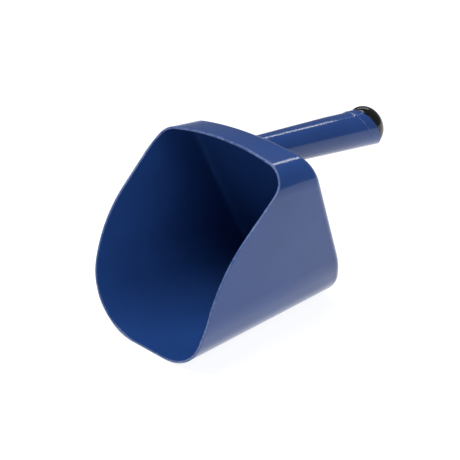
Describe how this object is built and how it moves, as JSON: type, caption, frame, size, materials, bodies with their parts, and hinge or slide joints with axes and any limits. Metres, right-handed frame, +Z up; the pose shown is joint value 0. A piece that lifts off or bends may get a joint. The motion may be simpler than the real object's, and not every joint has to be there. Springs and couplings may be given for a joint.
{
  "type": "utility scoop",
  "caption": "Deep moulded plastic scoop with a swept mouth, flat floor, leaning back wall and a hollow round grip closed by a domed end plug.",
  "frame": {"origin": "on the surface that the scoop stands on, below the middle of its overall length and width", "axes": "-Y out of the mouth, +Y along the grip towards its end plug, +Z up from the flat floor, +X to the right of a person looking into the mouth"},
  "size_m": [0.1594, 0.3052, 0.1751],
  "materials": {
    "blue_plastic": "gloss",
    "black_plastic": "gloss",
    "seal_rubber": "matte",
    "insert_brass": "satin",
    "bolt_steel": "satin"
  },
  "bodies": {
    "root": {"bowl": "blue_plastic", "handle": "blue_plastic", "end_plug": "black_plastic", "root_gasket": "seal_rubber", "threaded_insert": "insert_brass", "tie_bolt": "bolt_steel", "flat_washer": "bolt_steel", "spring_washer": "bolt_steel"}
  },
  "joints": []
}
